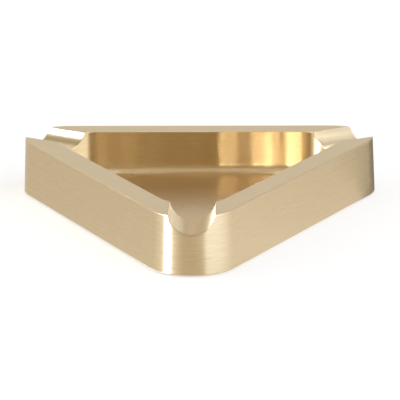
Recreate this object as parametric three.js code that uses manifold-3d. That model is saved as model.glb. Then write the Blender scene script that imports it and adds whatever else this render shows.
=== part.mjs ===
// Triangular ashtray, milled from one block of solid brass and standing on three silicone feet.
// Millimetres, +Z up, one corner towards -Y. It stands on z = 0, with its bounding box centred on the origin.

import * as THREE from 'three';
import { mergeVertices } from 'three/addons/utils/BufferGeometryUtils.js';
import Module from 'manifold-3d';

// Block: outline at the base, height, and the lean of its outer walls
const BASE_WIDTH = 101.6;
const BASE_CORNER_RADIUS = 12.7;
const BLOCK_HEIGHT = 15.875;
const WALL_DRAFT = THREE.MathUtils.degToRad(2.7);
const EDGE_RADIUS = 0.3;

// Well: the pocket milled into the block
const RIM_WIDTH = 6.9;
const WELL_CORNER_RADIUS = 10.16;
const FLOOR_THICKNESS = 3.97;
const FLOOR_FILLET = 2.38;

// Cigarette rests: one round-bottomed groove through each corner
const REST_RADIUS = 6.35;
const REST_DEPTH = 4.7625;

// Feet: glued discs, and the recesses that hold them
const FOOT_DIAMETER = 8;
const FOOT_THICKNESS = 1.6;
const FOOT_EDGE_RADIUS = 0.3;
const FOOT_STANDS_PROUD = 0.4;
const FOOT_SIDE_CLEARANCE = 0.3;
const FOOT_GLUE_LINE = 0.3;
const RECESS_EDGE_MARGIN = 2.9;

// Facets
const CORNER_STEPS = 24;
const EDGE_STEPS = 3;
const FILLET_STEPS = 7;
const REST_STEPS = 72;
const FOOT_STEPS = 40;

// How far a cutting tool runs past the metal that it cuts
const OVERTRAVEL = 2;

// Rounded triangle: the corner arcs' centres lie twice (inradius - corner radius) from the middle
const CORNER_COUNT = 3;
const CORNER_SPAN = (2 * Math.PI) / CORNER_COUNT;
const FRONT_DIRECTION = -Math.PI / 2;
const BASE_INRADIUS = BASE_CORNER_RADIUS + (BASE_WIDTH / 2 - BASE_CORNER_RADIUS) / Math.sqrt(3);
const BASE_CORNER_REACH = 2 * (BASE_INRADIUS - BASE_CORNER_RADIUS) + BASE_CORNER_RADIUS;
const WELL_INRADIUS = BASE_INRADIUS - BLOCK_HEIGHT * Math.tan(WALL_DRAFT) - RIM_WIDTH;

const RECESS_RADIUS = FOOT_DIAMETER / 2 + FOOT_SIDE_CLEARANCE;
const RECESS_DEPTH = FOOT_THICKNESS + FOOT_GLUE_LINE - FOOT_STANDS_PROUD;
const FOOT_REACH = BASE_CORNER_REACH - RECESS_EDGE_MARGIN - RECESS_RADIUS;

// The triangle's middle lies behind the middle of its bounding box by this much
const MIDDLE_BEHIND_BOX_CENTRE = (BASE_INRADIUS - BASE_CORNER_RADIUS) / 2;

const cornerDirection = (corner) => FRONT_DIRECTION + corner * CORNER_SPAN;

// Evenly spaced angles from one angle to another, both included
function anglesBetween(from, to, steps) {
  return Array.from({ length: steps + 1 }, (_, step) => THREE.MathUtils.lerp(from, to, step / steps));
}

// One level ring of points, counter-clockwise seen from above, around a triangle with rounded corners
function triangleRing(inradius, cornerRadius, z) {
  const ring = [];
  for (let corner = 0; corner < CORNER_COUNT; corner += 1) {
    const direction = cornerDirection(corner);
    const centreReach = 2 * (inradius - cornerRadius);
    const centre = new THREE.Vector2(Math.cos(direction), Math.sin(direction)).multiplyScalar(centreReach);
    const arc = anglesBetween(direction - CORNER_SPAN / 2, direction + CORNER_SPAN / 2, CORNER_STEPS);
    for (const angle of arc) {
      const x = centre.x + cornerRadius * Math.cos(angle);
      const y = centre.y + cornerRadius * Math.sin(angle);
      ring.push(new THREE.Vector3(x, y, z));
    }
  }
  return ring;
}

// Closed skin over level rings of equal count, lowest first, with a flat face at each end
function loftRings(rings) {
  const count = rings[0].length;
  const bottomMiddle = rings.length * count;
  const topMiddle = bottomMiddle + 1;
  const topRow = (rings.length - 1) * count;
  const faces = [];
  for (let i = 0; i < count; i += 1) {
    const next = (i + 1) % count;
    faces.push(bottomMiddle, next, i);
    faces.push(topMiddle, topRow + i, topRow + next);
    for (let row = 0; row < topRow; row += count) {
      faces.push(row + i, row + next, row + count + next);
      faces.push(row + i, row + count + next, row + count + i);
    }
  }
  const middles = [rings[0], rings[rings.length - 1]].map((ring) => new THREE.Vector3(0, 0, ring[0].z));
  const geometry = new THREE.BufferGeometry().setFromPoints([...rings.flat(), ...middles]);
  geometry.setIndex(faces);
  return geometry;
}

// The uncut block: its walls lean in as they rise, and its long edges are eased
function makeBlock() {
  const rings = [];
  const addEdge = (centreHeight, fromAngle, toAngle) => {
    const centreInset = centreHeight * Math.tan(WALL_DRAFT) + EDGE_RADIUS / Math.cos(WALL_DRAFT);
    for (const angle of anglesBetween(fromAngle, toAngle, EDGE_STEPS)) {
      const inset = centreInset - EDGE_RADIUS * Math.cos(angle);
      const z = centreHeight + EDGE_RADIUS * Math.sin(angle);
      rings.push(triangleRing(BASE_INRADIUS - inset, BASE_CORNER_RADIUS - inset, z));
    }
  };
  addEdge(EDGE_RADIUS, -Math.PI / 2, WALL_DRAFT);
  addEdge(BLOCK_HEIGHT - EDGE_RADIUS, WALL_DRAFT, Math.PI / 2);
  return loftRings(rings);
}

// The space milled out of the well: flat floor, filleted foot, upright walls, and the eased edge of the rim
function makeWellCutter() {
  const rings = [];
  const addRing = (outset, z) => {
    rings.push(triangleRing(WELL_INRADIUS + outset, WELL_CORNER_RADIUS + outset, z));
  };
  for (const angle of anglesBetween(0, Math.PI / 2, FILLET_STEPS)) {
    const outset = -FLOOR_FILLET * (1 - Math.sin(angle));
    addRing(outset, FLOOR_THICKNESS + FLOOR_FILLET * (1 - Math.cos(angle)));
  }
  for (const angle of anglesBetween(0, Math.PI / 2, EDGE_STEPS)) {
    const outset = EDGE_RADIUS * (1 - Math.cos(angle));
    addRing(outset, BLOCK_HEIGHT - EDGE_RADIUS * (1 - Math.sin(angle)));
  }
  addRing(EDGE_RADIUS, BLOCK_HEIGHT + OVERTRAVEL);
  return loftRings(rings);
}

// A level round cutter that runs from the middle of the well out through one corner
function makeRestCutter(corner) {
  const length = BASE_CORNER_REACH + OVERTRAVEL;
  const axisHeight = BLOCK_HEIGHT - REST_DEPTH + REST_RADIUS;
  const cutter = new THREE.CylinderGeometry(REST_RADIUS, REST_RADIUS, length, REST_STEPS);
  cutter.translate(0, length / 2, 0);
  cutter.rotateZ(cornerDirection(corner) - Math.PI / 2);
  cutter.translate(0, 0, axisHeight);
  return cutter;
}

// Where a foot's axis meets the underside of the block
function footPlace(corner) {
  const direction = cornerDirection(corner);
  return new THREE.Vector3(Math.cos(direction), Math.sin(direction), 0).multiplyScalar(FOOT_REACH);
}

function makeRecessCutter(corner) {
  const length = RECESS_DEPTH + OVERTRAVEL;
  const cutter = new THREE.CylinderGeometry(RECESS_RADIUS, RECESS_RADIUS, length, FOOT_STEPS);
  cutter.rotateX(Math.PI / 2);
  const place = footPlace(corner);
  cutter.translate(place.x, place.y, RECESS_DEPTH - length / 2);
  return cutter;
}

// A disc with eased edges, standing on z = 0
function makeFoot() {
  const rim = FOOT_DIAMETER / 2 - FOOT_EDGE_RADIUS;
  const profile = [new THREE.Vector2(0, 0)];
  const addEdge = (centreHeight, fromAngle, toAngle) => {
    for (const angle of anglesBetween(fromAngle, toAngle, EDGE_STEPS)) {
      const radius = rim + FOOT_EDGE_RADIUS * Math.cos(angle);
      profile.push(new THREE.Vector2(radius, centreHeight + FOOT_EDGE_RADIUS * Math.sin(angle)));
    }
  };
  addEdge(FOOT_EDGE_RADIUS, -Math.PI / 2, 0);
  addEdge(FOOT_THICKNESS - FOOT_EDGE_RADIUS, 0, Math.PI / 2);
  profile.push(new THREE.Vector2(0, FOOT_THICKNESS));
  return new THREE.LatheGeometry(profile, FOOT_STEPS).rotateX(Math.PI / 2);
}

const wasm = await Module();
wasm.setup();

function toSolid(geometry) {
  const bare = geometry.clone();
  bare.deleteAttribute('normal');
  bare.deleteAttribute('uv');
  const merged = mergeVertices(bare);
  const vertProperties = new Float32Array(merged.attributes.position.array);
  const triVerts = new Uint32Array(merged.index.array);
  return new wasm.Manifold(new wasm.Mesh({ numProp: 3, vertProperties, triVerts }));
}

function toGeometry(solid) {
  const mesh = solid.getMesh();
  const geometry = new THREE.BufferGeometry();
  geometry.setAttribute('position', new THREE.BufferAttribute(mesh.vertProperties, 3));
  geometry.setIndex(new THREE.BufferAttribute(mesh.triVerts, 1));
  geometry.computeVertexNormals();
  return geometry;
}

// The tray: block, less the well, the three rests and the three foot recesses
function makeTray() {
  let tray = toSolid(makeBlock()).subtract(toSolid(makeWellCutter()));
  for (let corner = 0; corner < CORNER_COUNT; corner += 1) {
    tray = tray.subtract(toSolid(makeRestCutter(corner)));
    tray = tray.subtract(toSolid(makeRecessCutter(corner)));
  }
  return toGeometry(tray);
}

const brass = new THREE.MeshStandardMaterial({ color: 0xebd3aa, metalness: 1, roughness: 0.32 });
const silicone = new THREE.MeshStandardMaterial({ color: 0x2b2a28, metalness: 0, roughness: 0.65 });

const ashtray = new THREE.Group();
ashtray.position.y = MIDDLE_BEHIND_BOX_CENTRE;

const tray = new THREE.Mesh(makeTray(), brass);
tray.name = 'brass_tray';
tray.position.z = FOOT_STANDS_PROUD;
ashtray.add(tray);

['foot_front', 'foot_right', 'foot_left'].forEach((name, corner) => {
  const foot = new THREE.Mesh(makeFoot(), silicone.clone());
  foot.name = name;
  foot.position.copy(footPlace(corner));
  ashtray.add(foot);
});

export default ashtray;
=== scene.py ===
import math

import bmesh
import bpy
from mathutils import Matrix, Vector


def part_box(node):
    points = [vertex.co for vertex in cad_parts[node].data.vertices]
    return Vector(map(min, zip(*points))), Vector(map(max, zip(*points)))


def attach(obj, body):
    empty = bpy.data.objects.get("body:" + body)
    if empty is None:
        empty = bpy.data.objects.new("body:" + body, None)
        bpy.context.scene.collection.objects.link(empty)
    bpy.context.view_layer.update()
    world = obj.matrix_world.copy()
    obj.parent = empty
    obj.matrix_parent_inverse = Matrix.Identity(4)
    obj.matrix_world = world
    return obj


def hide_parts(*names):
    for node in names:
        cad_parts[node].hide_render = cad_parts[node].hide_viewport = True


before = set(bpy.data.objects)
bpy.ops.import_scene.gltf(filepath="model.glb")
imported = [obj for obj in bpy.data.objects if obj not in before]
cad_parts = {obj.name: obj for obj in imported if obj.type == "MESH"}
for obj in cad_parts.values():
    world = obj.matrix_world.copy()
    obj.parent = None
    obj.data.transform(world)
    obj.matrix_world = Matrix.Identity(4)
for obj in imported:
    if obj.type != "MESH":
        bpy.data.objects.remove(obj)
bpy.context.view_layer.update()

# Brass tray, the form: one block of solid brass, sawn to a triangle and milled all over. The outer walls lean
# in towards the rim, a well with a filleted floor is cut into the top, and a round-nosed cutter has run a
# cigarette rest out through each corner. Its edges are eased by hand, and it stands on three glued feet.
MM = 0.001
BASE_WIDTH = 101.6 * MM
BASE_CORNER_RADIUS = 12.7 * MM
WALL_DRAFT = math.radians(2.7)
EDGE_RADIUS = 0.3 * MM
WELL_EDGE_RADIUS = 0.2 * MM
RIM_WIDTH = 6.9 * MM
WELL_CORNER_RADIUS = 10.16 * MM
FLOOR_THICKNESS = 3.97 * MM
FLOOR_FILLET = 2.38 * MM
REST_RADIUS = 6.35 * MM
REST_DEPTH = 4.7625 * MM
SHOULDER_RADIUS = 0.3 * MM
SHOULDER_FLAT = 0.4 * MM
RECESS_CLEARANCE = 0.3 * MM
RECESS_DEPTH = 1.5 * MM
FEET = ("foot_front", "foot_right", "foot_left")

tray_low, tray_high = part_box("brass_tray")
UNDERSIDE = tray_low.z
BLOCK_HEIGHT = tray_high.z - tray_low.z
BASE_INRADIUS = BASE_CORNER_RADIUS + (BASE_WIDTH / 2 - BASE_CORNER_RADIUS) / math.sqrt(3)
WELL_INRADIUS = BASE_INRADIUS - BLOCK_HEIGHT * math.tan(WALL_DRAFT) - RIM_WIDTH
MIDDLE = Vector((0, (BASE_INRADIUS - BASE_CORNER_RADIUS) / 2, UNDERSIDE))

FRONT_DIRECTION = math.radians(-90)
CORNER_SPAN = math.radians(120)
HALF_SPAN = CORNER_SPAN / 2
CORNER_DIRECTIONS = [FRONT_DIRECTION + turn * CORNER_SPAN for turn in range(len(FEET))]
QUARTER_TURN = math.pi / 2

# Rows run up the wall and over the rim to the floor, columns run round the tray
WALL_ROWS = 12
EDGE_ROWS = 6
RIM_ROWS = 8
FILLET_ROWS = 12
FLOOR_RINGS = 6
REST_COLUMNS = 44
SHOULDER_COLUMNS = 6
TURN_COLUMNS = 10
SIDE_COLUMNS = 30
RECESS_STEPS = 64

# Mark on each point: whether it lies on an eased edge or on a plain face
EASED = 1.0
PLAIN = 0.0


def spread(first, last, steps):
    """Evenly spaced values from first to last, both included."""
    return [first + (last - first) * step / steps for step in range(steps + 1)]


def corner_reach(inradius, radius, aside):
    """How far out a rounded triangle's corner lies, this far aside from its bisector."""
    if abs(aside) <= radius * math.sin(HALF_SPAN):
        return 2 * (inradius - radius) + math.sqrt(radius ** 2 - aside ** 2)
    return 2 * inradius - math.sqrt(3) * abs(aside)


def corner_turn(inradius, radius, angle):
    """(aside, reach) of the point on a rounded triangle's corner arc at an angle from its bisector."""
    return radius * math.sin(angle), 2 * (inradius - radius) + radius * math.cos(angle)


class Slice:
    """One upright slice through the tray's wall, and how deep a rest cuts into it there.

    outer gives the slice's point on the base outline, moved inwards by an inset. rim and well give its
    points on the well's outline, moved outwards by an outset: at the rim, and on the wall and fillet below.
    """

    def __init__(self, outer, rim, well, cut=0.0):
        self.outer = outer
        self.rim = rim
        self.well = well
        self.top = BLOCK_HEIGHT - cut
        self.in_rest = cut > 0


def rest_profile():
    """Half of a rest's section, from its bottom over one rounded shoulder: (aside, depth below the rim)."""
    axis_height = REST_RADIUS - REST_DEPTH
    joint_angle = math.acos((axis_height + SHOULDER_RADIUS) / (REST_RADIUS + SHOULDER_RADIUS))
    shoulder_aside = (REST_RADIUS + SHOULDER_RADIUS) * math.sin(joint_angle)
    profile = []
    for angle in spread(0, joint_angle, REST_COLUMNS // 2):
        profile.append((REST_RADIUS * math.sin(angle), REST_RADIUS * math.cos(angle) - axis_height))
    for angle in spread(joint_angle, 0, SHOULDER_COLUMNS)[1:]:
        aside = shoulder_aside - SHOULDER_RADIUS * math.sin(angle)
        profile.append((aside, SHOULDER_RADIUS * (1 - math.cos(angle))))
    profile.append((shoulder_aside + SHOULDER_FLAT, 0.0))
    return profile


def corner_slices(direction):
    """The slices round one corner, counter-clockwise: a bend, the rest with its shoulders, and a bend."""
    out = Vector((math.cos(direction), math.sin(direction), 0))
    across = Vector((-out.y, out.x, 0))
    profile = rest_profile()
    flat_aside = profile[-1][0]

    def place(aside, reach):
        return MIDDLE + out * reach + across * aside

    def straight_slice(aside, cut):
        well_angle = math.asin(aside / WELL_CORNER_RADIUS)

        def outer(inset):
            return place(aside, corner_reach(BASE_INRADIUS - inset, BASE_CORNER_RADIUS - inset, aside))

        def rim(outset):
            return place(aside, corner_reach(WELL_INRADIUS + outset, WELL_CORNER_RADIUS + outset, aside))

        def well(outset):
            radius = WELL_CORNER_RADIUS + outset
            return place(*corner_turn(WELL_INRADIUS + outset, radius, well_angle))

        return Slice(outer, rim, well, cut)

    def bend_slice(share, side):
        def bend_angle(radius):
            shoulder_angle = math.asin(flat_aside / radius)
            return side * (HALF_SPAN + (shoulder_angle - HALF_SPAN) * share)

        def outer(inset):
            radius = BASE_CORNER_RADIUS - inset
            return place(*corner_turn(BASE_INRADIUS - inset, radius, bend_angle(radius)))

        def rim(outset):
            radius = WELL_CORNER_RADIUS + outset
            return place(*corner_turn(WELL_INRADIUS + outset, radius, bend_angle(radius)))

        def well(outset):
            radius = WELL_CORNER_RADIUS + outset
            return place(*corner_turn(WELL_INRADIUS + outset, radius, bend_angle(WELL_CORNER_RADIUS)))

        return Slice(outer, rim, well)

    shares = spread(0, 1, TURN_COLUMNS)[:-1]
    round_corner = [bend_slice(share, side=-1) for share in shares]
    round_corner += [straight_slice(-aside, cut) for aside, cut in reversed(profile[1:])]
    round_corner += [straight_slice(aside, cut) for aside, cut in profile]
    round_corner += [bend_slice(share, side=1) for share in reversed(shares)]
    return round_corner


def side_slice(before, after, share):
    """A slice through the straight wall between two corners."""
    return Slice(
        lambda inset: before.outer(inset).lerp(after.outer(inset), share),
        lambda outset: before.rim(outset).lerp(after.rim(outset), share),
        lambda outset: before.well(outset).lerp(after.well(outset), share),
    )


corners = [corner_slices(direction) for direction in CORNER_DIRECTIONS]
slices = []
for corner, following in zip(corners, corners[1:] + corners[:1]):
    slices += corner
    slices += [side_slice(corner[-1], following[0], share) for share in spread(0, 1, SIDE_COLUMNS)[1:-1]]


def raised(point, height):
    """A point's place at a height above the tray's underside."""
    return Vector((point.x, point.y, UNDERSIDE + height))


def outer_edge(one, centre_height, angle):
    """A point on the rounded edge that joins the leaning wall to a level face."""
    inset = centre_height * math.tan(WALL_DRAFT) + EDGE_RADIUS / math.cos(WALL_DRAFT)
    return raised(
        one.outer(inset - EDGE_RADIUS * math.cos(angle)),
        centre_height + EDGE_RADIUS * math.sin(angle),
    )


def slice_points(one):
    """The slice's outline from the underside, over the rim and down to the floor, as (zone, mark, point)."""
    outline = []
    for angle in spread(-QUARTER_TURN, WALL_DRAFT, EDGE_ROWS):
        outline.append(("outer", EASED, outer_edge(one, EDGE_RADIUS, angle)))
    upper_edge = one.top - EDGE_RADIUS
    for height in spread(EDGE_RADIUS, upper_edge, WALL_ROWS)[1:-1]:
        outline.append(("outer", PLAIN, raised(one.outer(height * math.tan(WALL_DRAFT)), height)))
    wall_end, *rounding = spread(WALL_DRAFT, QUARTER_TURN, EDGE_ROWS)
    outline.append(("outer", EASED, outer_edge(one, upper_edge, wall_end)))
    for angle in rounding:
        outline.append(("top", EASED, outer_edge(one, upper_edge, angle)))
    rim_start = outline[-1][2]
    rim_end = raised(one.rim(WELL_EDGE_RADIUS), one.top)
    for share in spread(0, 1, RIM_ROWS)[1:-1]:
        outline.append(("top", PLAIN, rim_start.lerp(rim_end, share)))
    for angle in spread(QUARTER_TURN, 0, EDGE_ROWS):
        point = raised(
            one.rim(WELL_EDGE_RADIUS * (1 - math.cos(angle))),
            one.top - WELL_EDGE_RADIUS * (1 - math.sin(angle)),
        )
        outline.append(("top", EASED, point))
    fillet_top = FLOOR_THICKNESS + FLOOR_FILLET
    for height in spread(one.top - WELL_EDGE_RADIUS, fillet_top, WALL_ROWS)[1:-1]:
        outline.append(("well", PLAIN, raised(one.well(0), height)))
    for angle in spread(QUARTER_TURN, 0, FILLET_ROWS):
        point = raised(
            one.well(-FLOOR_FILLET * (1 - math.sin(angle))),
            FLOOR_THICKNESS + FLOOR_FILLET * (1 - math.cos(angle)),
        )
        outline.append(("well", PLAIN, point))
    floor_edge = outline[-1][2]
    floor_middle = raised(MIDDLE, FLOOR_THICKNESS)
    for share in spread(0, 1, FLOOR_RINGS)[1:-1]:
        outline.append(("floor", PLAIN, floor_edge.lerp(floor_middle, share)))
    return outline


# Brass tray, the mesh: the slices are joined all round, the floor closes in its middle, and the flat
# underside is filled round the three recesses that hold the feet. Each face carries the way that its finish
# runs, in millimetres along and across the grain.
EVEN_SHADING_WEIGHT = 100

mesh = bmesh.new()
grain = mesh.loops.layers.uv.new("grain")
eased_edge = mesh.verts.layers.float.new("eased_edge")
outlines = [slice_points(one) for one in slices]
grid = []
for outline in outlines:
    column = []
    for zone, mark, point in outline:
        vertex = mesh.verts.new(point)
        vertex[eased_edge] = mark
        column.append(vertex)
    grid.append(column)

# The five finishes of the tray, in the order of its material slots
UPRIGHT, LEVEL, POCKET, REST, BOTTOM = range(5)
marks_up_the_slice = [(zone, mark) for zone, mark, point in outlines[0]]
WALL_MIDDLE_ROW = marks_up_the_slice.index(("outer", PLAIN)) + WALL_ROWS // 2
RIM_MIDDLE_ROW = marks_up_the_slice.index(("top", PLAIN)) + RIM_ROWS // 2


def finish_face(face, material, ways):
    """Sets a face's finish and, for each of its corners, the way that the grain runs there."""
    face.smooth = True
    face.material_index = material
    for loop, way in zip(face.loops, ways):
        loop[grain].uv = (way[0] / MM, way[1] / MM)


wall_along = 0.0
rim_along = 0.0
for index, one in enumerate(slices):
    following = (index + 1) % len(slices)
    here, there = grid[index], grid[following]
    wall_next = wall_along + (there[WALL_MIDDLE_ROW].co.xy - here[WALL_MIDDLE_ROW].co.xy).length
    rim_next = rim_along + (there[RIM_MIDDLE_ROW].co - here[RIM_MIDDLE_ROW].co).length
    in_rest = one.in_rest and slices[following].in_rest
    for row in range(len(here) - 1):
        zone = outlines[index][row + 1][0]
        corners_of_face = (here[row], there[row], there[row + 1], here[row + 1])
        face = mesh.faces.new(corners_of_face)
        if zone == "top":
            along = (rim_along, rim_next, rim_next, rim_along)
            start = here[RIM_MIDDLE_ROW].co
            inward = (here[row + 1].co - here[0].co).normalized()
            across = [(vertex.co - start).dot(inward) for vertex in corners_of_face]
            ways = list(zip(across, along)) if in_rest else list(zip(along, across))
            finish_face(face, REST if in_rest else LEVEL, ways)
        elif zone == "floor":
            finish_face(face, BOTTOM, [(vertex.co.x, vertex.co.y) for vertex in corners_of_face])
        else:
            along = (wall_along, wall_next, wall_next, wall_along)
            material = POCKET if zone == "well" else UPRIGHT
            finish_face(face, material, list(zip(along, (vertex.co.z for vertex in corners_of_face))))
    wall_along, rim_along = wall_next, rim_next

floor_centre = mesh.verts.new(raised(MIDDLE, FLOOR_THICKNESS))
for column, following in zip(grid, grid[1:] + grid[:1]):
    face = mesh.faces.new((column[-1], following[-1], floor_centre))
    finish_face(face, BOTTOM, [(vertex.co.x, vertex.co.y) for vertex in face.verts])


def recess_ring(foot, height):
    """A level ring of vertices round a foot, just clear of it."""
    low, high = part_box(foot)
    centre = (low + high) / 2
    radius = (high.x - low.x) / 2 + RECESS_CLEARANCE
    ring = []
    for angle in spread(0, 2 * math.pi, RECESS_STEPS)[:-1]:
        offset = Vector((math.cos(angle), math.sin(angle), 0)) * radius
        ring.append(mesh.verts.new(raised(centre + offset, height)))
    return ring


def ring_edges(ring):
    """The edges that join a ring of vertices, made where a face has not made them already."""
    edges = []
    for vertex, following in zip(ring, ring[1:] + ring[:1]):
        edges.append(mesh.edges.get((vertex, following)) or mesh.edges.new((vertex, following)))
    return edges


borders = ring_edges([column[0] for column in grid])
for foot in FEET:
    mouth = recess_ring(foot, 0.0)
    ceiling = recess_ring(foot, RECESS_DEPTH)
    borders += ring_edges(mouth)
    for step in range(RECESS_STEPS):
        after = (step + 1) % RECESS_STEPS
        wall = mesh.faces.new((mouth[step], mouth[after], ceiling[after], ceiling[step]))
        finish_face(wall, LEVEL, [(vertex.co.x, vertex.co.z) for vertex in wall.verts])
    top = mesh.faces.new(ceiling)
    finish_face(top, LEVEL, [(vertex.co.x, vertex.co.y) for vertex in top.verts])

filled = bmesh.ops.triangle_fill(mesh, edges=borders, use_beauty=True, normal=(0, 0, -1))
for face in filled["geom"]:
    if isinstance(face, bmesh.types.BMFace):
        finish_face(face, LEVEL, [(vertex.co.x, vertex.co.y) for vertex in face.verts])
bmesh.ops.recalc_face_normals(mesh, faces=mesh.faces)

tray_mesh = bpy.data.meshes.new("brass_tray_form")
mesh.to_mesh(tray_mesh)
mesh.free()
tray = bpy.data.objects.new("tray", tray_mesh)
bpy.context.scene.collection.objects.link(tray)
even_shading = tray.modifiers.new("even_shading", "WEIGHTED_NORMAL")
even_shading.mode = "FACE_AREA"
even_shading.weight = EVEN_SHADING_WEIGHT


# Brass tray, the finish: bare brass, brushed along the walls and the rests with a fine abrasive pad, so that
# lights draw out into bands across the grain. The rim, the well's floor and the underside are a softer satin.
# The walls keep a slight waviness from the mill, and the eased edges are rubbed smooth.
class Wire:
    """A value in a node tree. Arithmetic on it adds Math nodes to the tree."""

    def __init__(self, tree, socket=None):
        self.tree = tree
        self.socket = socket

    def node(self, kind, settings=None, inputs=None, output=0):
        """Adds a node: its settings first, then the values or links of its sockets."""
        made = self.tree.nodes.new(kind)
        for name, value in (settings or {}).items():
            setattr(made, name, value)
        for name, value in (inputs or {}).items():
            if isinstance(value, Wire):
                self.tree.links.new(value.socket, made.inputs[name])
            else:
                made.inputs[name].default_value = value
        return Wire(self.tree, made.outputs[output] if made.outputs else None)

    def math(self, operation, first, second):
        """A Math node on two values."""
        return self.node("ShaderNodeMath", {"operation": operation}, {0: first, 1: second})

    def __add__(self, other):
        return self.math("ADD", self, other)

    def __radd__(self, other):
        return self.math("ADD", other, self)

    def __sub__(self, other):
        return self.math("SUBTRACT", self, other)

    def __rsub__(self, other):
        return self.math("SUBTRACT", other, self)

    def __mul__(self, other):
        return self.math("MULTIPLY", self, other)

    def __rmul__(self, other):
        return self.math("MULTIPLY", other, self)

    def stretched(self, factors):
        """A coordinate with each of its axes scaled."""
        return self.node("ShaderNodeVectorMath", {"operation": "MULTIPLY"}, {0: self, 1: factors})

    def noise(self, detail, scale=1.0):
        """Noise from 0 to 1 over this coordinate."""
        return self.node("ShaderNodeTexNoise", {}, {"Vector": self, "Scale": scale, "Detail": detail})

    def part(self, axis):
        """One axis of this coordinate."""
        return self.node("ShaderNodeSeparateXYZ", {}, {"Vector": self}, output=axis)

    def toward(self, direction):
        """1 where this direction agrees with another one, and 0 where the two are square."""
        product = {"operation": "DOT_PRODUCT"}
        return self.node("ShaderNodeVectorMath", product, {0: self, 1: direction}, output="Value")

    def ramp(self, low, high):
        """0 where this value is below low, 1 where it is above high, and a smooth step between."""
        limits = {"Value": self, "From Min": low, "From Max": high}
        return self.node("ShaderNodeMapRange", {"interpolation_type": "SMOOTHSTEP"}, limits)

    def blend(self, low, high):
        """A colour between two others, by this value."""
        ends = {"Factor": self, "A": low, "B": high}
        return self.node("ShaderNodeMix", {"data_type": "RGBA"}, ends, output="Result")


def new_finish(name):
    """An empty material, its tree as a Wire, and its surface shader."""
    material = bpy.data.materials.new(name)
    material.use_nodes = True
    shader = material.node_tree.nodes["Principled BSDF"]
    return material, Wire(material.node_tree), shader


def feed(wires, shader, **links):
    """Links values to a shader's sockets, which are named with underscores for spaces."""
    for name, wire in links.items():
        wires.tree.links.new(wire.socket, shader.inputs[name.replace("_", " ")])


BRASS_DULL = (0.610, 0.475, 0.288, 1)
BRASS_BRIGHT = (0.794, 0.633, 0.390, 1)
NOISE_MIDDLE = 0.5

# Marks of the pad: how many to the millimetre along and across the grain, and how strongly they show
SCRATCH_RATES = (0.2, 3.0, 1.0)
SCRATCH_DETAIL = 4.0
SCRATCH_SHARE = 1.6
SCRATCH_DEPTH = 0.0035 * MM
BAND_RATES = (0.03, 1.0, 1.0)
BAND_DETAIL = 2.0
BAND_SHARE = 0.5
BRUSHING_GLOSS = 0.15

# Clouds from handling, to the metre
HANDLING_RATE = 45.0
HANDLING_DETAIL = 3.0
HANDLING_TONE = 0.3
HANDLING_GLOSS = 0.08

# Waves along the walls, to the millimetre
WAVE_RATE = 0.08
WAVE_START = 29.6
WAVE_DETAIL = 1.0

# Share of a full turn from the grain to the way that lights draw out
ACROSS_THE_GRAIN = 0.25


def brushed_brass(name, roughness, anisotropy, marks, middle_tone=0.5, waviness=0.0):
    """Brass with a fine grain along its faces: tone, gloss and tiny scratches all follow the grain."""
    material, wires, brass = new_finish(name)
    way = wires.node("ShaderNodeUVMap", {"uv_map": "grain"})
    place = wires.node("ShaderNodeTexCoord", output="Object")
    scratches = way.stretched(SCRATCH_RATES).noise(SCRATCH_DETAIL) - NOISE_MIDDLE
    bands = way.stretched(BAND_RATES).noise(BAND_DETAIL) - NOISE_MIDDLE
    handling = place.noise(HANDLING_DETAIL, HANDLING_RATE) - NOISE_MIDDLE
    on_edge = wires.node("ShaderNodeAttribute", {"attribute_name": "eased_edge"}, output="Fac")
    brushing = scratches * SCRATCH_SHARE + bands * BAND_SHARE
    tone = middle_tone + brushing * marks + handling * HANDLING_TONE
    gloss = roughness + brushing * marks * BRUSHING_GLOSS + handling * HANDLING_GLOSS
    waves = wires.node("ShaderNodeTexNoise", {"noise_dimensions": "1D"}, {
        "W": way.part("X") * WAVE_RATE + WAVE_START,
        "Scale": 1.0,
        "Detail": WAVE_DETAIL,
    })
    height = brushing * (1 - on_edge) * marks * SCRATCH_DEPTH + waves * waviness
    bump = wires.node("ShaderNodeBump", {}, {"Strength": 1.0, "Distance": 1.0, "Height": height})
    brass.inputs["Metallic"].default_value = 1.0
    brass.inputs["Anisotropic"].default_value = anisotropy
    brass.inputs["Anisotropic Rotation"].default_value = ACROSS_THE_GRAIN
    feed(wires, brass, Base_Color=tone.blend(BRASS_DULL, BRASS_BRIGHT), Roughness=gloss, Normal=bump)
    return material


walls = brushed_brass("brass_brushed_walls", roughness=0.33, anisotropy=1.0, marks=1.0, waviness=0.05 * MM)
satin = brushed_brass("brass_satin_faces", roughness=0.33, anisotropy=0.0, marks=0.35)
# The well's walls take a paler brass than the outer walls (middle tone 0.75): painted light that brightens
# the inside of the well
well_walls = brushed_brass(
    "brass_well_walls", roughness=0.33, anisotropy=1.0, marks=0.7, middle_tone=0.75, waviness=0.45 * MM
)
rests = brushed_brass("brass_brushed_rests", roughness=0.41, anisotropy=1.0, marks=0.7)
well_floor = brushed_brass("brass_well_floor", roughness=0.28, anisotropy=0.0, marks=0.02)
for finish in (walls, satin, well_walls, rests, well_floor):
    tray.data.materials.append(finish)
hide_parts("brass_tray")
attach(tray, "root")

# Feet: three small moulded silicone discs with a sticky back, pressed into the recesses under the corners.
# They stand a little proud of the metal, so that the tray neither slides nor scratches.
FOOT_EDGE_RADIUS = 0.4 * MM
FOOT_STEPS = 64
FOOT_EDGE_STEPS = 6
SILICONE_DARK = (0.018, 0.017, 0.016, 1)
SILICONE_WORN = (0.036, 0.034, 0.031, 1)
SILICONE_SPECULAR = 0.35
SILICONE_ROUGHNESS = 0.55
DUST_ROUGHNESS = 0.2
DUST_RATE = 500.0
DUST_DETAIL = 3.0
PORE_RATE = 9000.0
PORE_DETAIL = 4.0
PORE_DEPTH = 0.02 * MM
PORE_STRENGTH = 0.4

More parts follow.
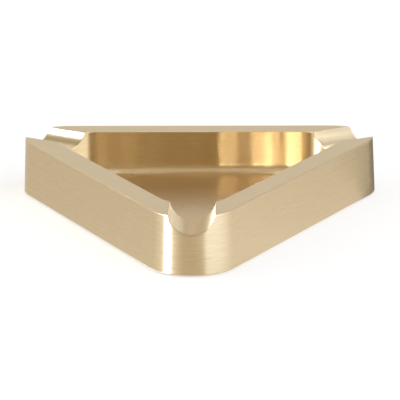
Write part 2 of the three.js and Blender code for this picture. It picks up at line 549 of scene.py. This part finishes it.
silicone, wires, rubbery = new_finish("foot_silicone")
place = wires.node("ShaderNodeTexCoord", output="Object")
pores = place.noise(PORE_DETAIL, PORE_RATE)
dust = place.noise(DUST_DETAIL, DUST_RATE)
pitted = wires.node("ShaderNodeBump", {}, {
    "Strength": PORE_STRENGTH,
    "Distance": PORE_DEPTH,
    "Height": pores,
})
rubbery.inputs["Specular IOR Level"].default_value = SILICONE_SPECULAR
feed(
    wires,
    rubbery,
    Base_Color=dust.blend(SILICONE_DARK, SILICONE_WORN),
    Roughness=SILICONE_ROUGHNESS + dust * DUST_ROUGHNESS,
    Normal=pitted,
)


def foot_form(node):
    """A disc turned from an eased outline, filling the box of its CAD piece."""
    low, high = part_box(node)
    centre = (low + high) / 2
    flat_radius = (high.x - low.x) / 2 - FOOT_EDGE_RADIUS
    outline = [(flat_radius / 2, low.z)]
    for angle in spread(-QUARTER_TURN, 0, FOOT_EDGE_STEPS):
        height = low.z + FOOT_EDGE_RADIUS * (1 + math.sin(angle))
        outline.append((flat_radius + FOOT_EDGE_RADIUS * math.cos(angle), height))
    for angle in spread(0, QUARTER_TURN, FOOT_EDGE_STEPS):
        height = high.z - FOOT_EDGE_RADIUS * (1 - math.sin(angle))
        outline.append((flat_radius + FOOT_EDGE_RADIUS * math.cos(angle), height))
    outline.append((flat_radius / 2, high.z))

    form = bmesh.new()
    rings = []
    for radius, height in outline:
        ring = []
        for turn in spread(0, 2 * math.pi, FOOT_STEPS)[:-1]:
            x = centre.x + radius * math.cos(turn)
            y = centre.y + radius * math.sin(turn)
            ring.append(form.verts.new((x, y, height)))
        rings.append(ring)
    for ring, above in zip(rings, rings[1:]):
        for step in range(FOOT_STEPS):
            after = (step + 1) % FOOT_STEPS
            form.faces.new((ring[step], ring[after], above[after], above[step]))
    form.faces.new(reversed(rings[0]))
    form.faces.new(rings[-1])
    for face in form.faces:
        face.smooth = True
    made = bpy.data.meshes.new(node + "_form")
    form.to_mesh(made)
    form.free()
    return made


for node in FEET:
    foot = bpy.data.objects.new(node.replace("foot", "silicone_foot"), foot_form(node))
    bpy.context.scene.collection.objects.link(foot)
    foot.data.materials.append(silicone)
    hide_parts(node)
    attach(foot, "root")

# Floor: a plain pale studio table, matt and seamless, that runs far past the frame and takes the tray's
# shadow. In the brass it shows painted light and shade: a painted pool of light in front and on the right,
# painted shade towards the back, and a painted shadow behind on the right in place of the tray's own shadow.
# The camera sees it near white, and from below it is clear, so that the tray's underside shows.
FLOOR_REACH = 3.0
FLOOR_SIDES = 96
FLOOR_COLOUR = (0.43, 0.415, 0.395, 1)
FLOOR_GLOW = (0.57, 0.57, 0.57, 1)
# Tones that only the brass sees in the floor: painted light, brightest near the front on the right, and
# painted shade further back
MIRRORED_NEAR = (1.0, 0.98, 0.94, 1)
MIRRORED_FAR = (0.84, 0.79, 0.74, 1)
MIRRORED_RIGHT_NEAR = (1.32, 1.34, 1.38, 1)
MIRRORED_RIGHT_FAR = (0.92, 0.87, 0.82, 1)
# A painted shadow that the brass sees on the floor behind on the right, in place of the tray's own shadow
MIRRORED_PAINTED_SHADOW = (0.33, 0.315, 0.29, 1)
BLACK = (0, 0, 0, 1)

# Where one tone runs into the next: from front to back, from left to right, and at two edges of the painted
# shadow
NEAR_TO_FAR = (-90 * MM, 70 * MM)
LEFT_TO_RIGHT = (0, 30 * MM)
PAINTED_SHADOW_FRONT = (-7.8 * MM, -4.8 * MM)
PAINTED_SHADOW_LEFT = (25 * MM, 40 * MM)
PAINTED_SHADOW_TURN = math.radians(33)

bpy.ops.mesh.primitive_circle_add(
    vertices=FLOOR_SIDES, radius=FLOOR_REACH, fill_type="NGON", location=(0, 0, 0)
)
floor = bpy.context.object
floor.name = "studio_floor"
paper, wires, matt = new_finish("studio_paper")
mirrored = wires.node("ShaderNodeLightPath", output="Is Glossy Ray")
seen = wires.node("ShaderNodeLightPath", output="Is Camera Ray")
place = wires.node("ShaderNodeTexCoord", output="Object")
rightward, backward = place.part("X"), place.part("Y")
# Painted light and shade on the floor as the brass mirrors it: paler in front and on the right, darker
# towards the back
away = backward.ramp(*NEAR_TO_FAR)
left_tone = away.blend(MIRRORED_NEAR, MIRRORED_FAR)
right_tone = away.blend(MIRRORED_RIGHT_NEAR, MIRRORED_RIGHT_FAR)
tone = rightward.ramp(*LEFT_TO_RIGHT).blend(left_tone, right_tone)
# The painted shadow: a darker tone past a slanted line behind on the right, seen only in the brass
past_painted_shadow_front = backward * math.cos(PAINTED_SHADOW_TURN) - rightward * math.sin(PAINTED_SHADOW_TURN)
in_painted_shadow = past_painted_shadow_front.ramp(*PAINTED_SHADOW_FRONT) * rightward.ramp(*PAINTED_SHADOW_LEFT)
tone = in_painted_shadow.blend(tone, MIRRORED_PAINTED_SHADOW)
glow = mirrored.blend(seen.blend(BLACK, FLOOR_GLOW), tone)
feed(wires, matt, Base_Color=mirrored.blend(FLOOR_COLOUR, BLACK), Emission_Color=glow)
matt.inputs["Emission Strength"].default_value = 1.0
matt.inputs["Roughness"].default_value = 1.0
matt.inputs["Specular IOR Level"].default_value = 0.0
from_below = wires.node("ShaderNodeNewGeometry", output="Backfacing")
from_above = Wire(wires.tree, matt.outputs["BSDF"])
clear = wires.node("ShaderNodeBsdfTransparent")
one_way = wires.node("ShaderNodeMixShader", {}, {0: from_below, 1: from_above, 2: clear})
wires.tree.links.new(one_way.socket, wires.tree.nodes["Material Output"].inputs["Surface"])
floor.data.materials.append(paper)

# Light: an even pale room with a brighter ceiling. Behind the camera is a dark, warm gap, right of it a white
# wall, brighter higher up, that fades towards the back, and behind on the right a grey corner. On the left a
# narrow softbox in a soft halo draws the bright bands, and lights gloss only. The camera sees plain white.
ROOM = (0.78, 0.77, 0.74, 1)
WARM_GAP = (0.38, 0.26, 0.11, 1)
GREY_CORNER = (0.40, 0.40, 0.40, 1)
WHITE_WALL_LOW = (1.3, 1.5, 1.85, 1)
WHITE_WALL_HIGH = (2.35, 2.65, 3.2, 1)
CEILING = (1.2, 1.2, 1.2, 1)
HALO = (1.4, 1.5, 1.62, 1)
WHITE = (1, 1, 1, 1)
DAYLIGHT = (0.86, 1.0, 1.3)

# Azimuths in degrees between which one tone runs into the next
GAP_STARTS = (-142, -120)
GAP_ENDS = (-60, -56)
WHITE_WALL_FADES = (-20, 40)
CORNER_STARTS = (36, 50)
CORNER_ENDS = (68, 80)

# The same as heights, from 0 at the table's level to 1 straight up
WHITE_WALL_BRIGHTENS = (0.12, 0.42)
CEILING_STARTS = (0.85, 0.97)

# The halo's middle, in degrees, and how far from it the halo starts and is full
HALO_AZIMUTH = -160
HALO_ELEVATION = 16.5
HALO_STARTS = math.radians(52)
HALO_FULL = math.radians(5)


def way_to(azimuth, elevation):
    """The direction from the tray to a place in the room, given in degrees."""
    turn, rise = math.radians(azimuth), math.radians(elevation)
    return Vector((math.cos(turn) * math.cos(rise), math.sin(turn) * math.cos(rise), math.sin(rise)))


world = bpy.data.worlds.new("studio_room")
bpy.context.scene.world = world
world.use_nodes = True
room = Wire(world.node_tree)
look = room.node("ShaderNodeTexCoord", output="Generated")
rightward, backward, upward = [look.part(axis) for axis in "XYZ"]
azimuth = room.math("ARCTAN2", backward, rightward)


def round_from(first, last):
    """0 before the first azimuth, 1 after the last one, and a smooth step between."""
    return azimuth.ramp(math.radians(first), math.radians(last))


right_of_gap = round_from(*GAP_ENDS)
gap = round_from(*GAP_STARTS) * (1 - right_of_gap)
white_wall = right_of_gap * (1 - round_from(*WHITE_WALL_FADES))
grey_corner = round_from(*CORNER_STARTS) * (1 - round_from(*CORNER_ENDS))
halo_middle = way_to(HALO_AZIMUTH, HALO_ELEVATION)
in_halo = look.toward(halo_middle).ramp(math.cos(HALO_STARTS), math.cos(HALO_FULL))
white_tone = upward.ramp(*WHITE_WALL_BRIGHTENS).blend(WHITE_WALL_LOW, WHITE_WALL_HIGH)
seen = room.node("ShaderNodeLightPath", output="Is Camera Ray")
colour = gap.blend(ROOM, WARM_GAP)
colour = white_wall.blend(colour, white_tone)
colour = grey_corner.blend(colour, GREY_CORNER)
colour = (in_halo * in_halo).blend(colour, HALO)
colour = upward.ramp(*CEILING_STARTS).blend(colour, CEILING)
colour = seen.blend(colour, WHITE)
background = world.node_tree.nodes["Background"]
room.tree.links.new(colour.socket, background.inputs["Color"])


def softbox(name, azimuth, elevation, distance, width, height, radiance):
    """A rectangular lamp that faces the tray from a direction, with a given brightness of its face."""
    lamp = bpy.data.lights.new(name, "AREA")
    lamp.shape = "RECTANGLE"
    lamp.size = width
    lamp.size_y = height
    lamp.energy = radiance * math.pi * width * height
    lamp.color = DAYLIGHT
    holder = bpy.data.objects.new(name, lamp)
    direction = way_to(azimuth, elevation)
    holder.location = MIDDLE + direction * distance
    holder.rotation_euler = direction.to_track_quat("Z", "Y").to_euler()
    holder.visible_diffuse = False
    bpy.context.scene.collection.objects.link(holder)


softbox("left_softbox", azimuth=-151, elevation=16.5, distance=0.9, width=0.12, height=0.54, radiance=80.0)

# Camera: a long lens, a little above the table and almost straight in front of one corner. It is aimed at a
# point just above and to the right of the tray's middle, and is held a little out of level.
CAMERA_DISTANCE = 684.7 * MM
CAMERA_ELEVATION = math.radians(16.98)
CAMERA_TURN = math.radians(1.54)
CAMERA_ROLL = math.radians(0.51)
AIM_RIGHT = 0.75 * MM
AIM_UP = 3.24 * MM
SENSOR_WIDTH = 36.0
LENS = 218.8
CLIP_START = 10 * MM

lens = bpy.data.cameras.new("camera")
lens.sensor_width = SENSOR_WIDTH
lens.lens = LENS
lens.clip_start = CLIP_START
camera = bpy.data.objects.new("camera", lens)
bpy.context.scene.collection.objects.link(camera)
tilt = Matrix.Rotation(CAMERA_TURN, 4, "Z") @ Matrix.Rotation(QUARTER_TURN - CAMERA_ELEVATION, 4, "X")
camera.matrix_world = (
    Matrix.Translation(MIDDLE)
    @ tilt
    @ Matrix.Translation((AIM_RIGHT, AIM_UP, CAMERA_DISTANCE))
    @ Matrix.Rotation(-CAMERA_ROLL, 4, "Z")
)
bpy.context.scene.camera = camera
bpy.context.scene.view_settings.view_transform = "Standard"
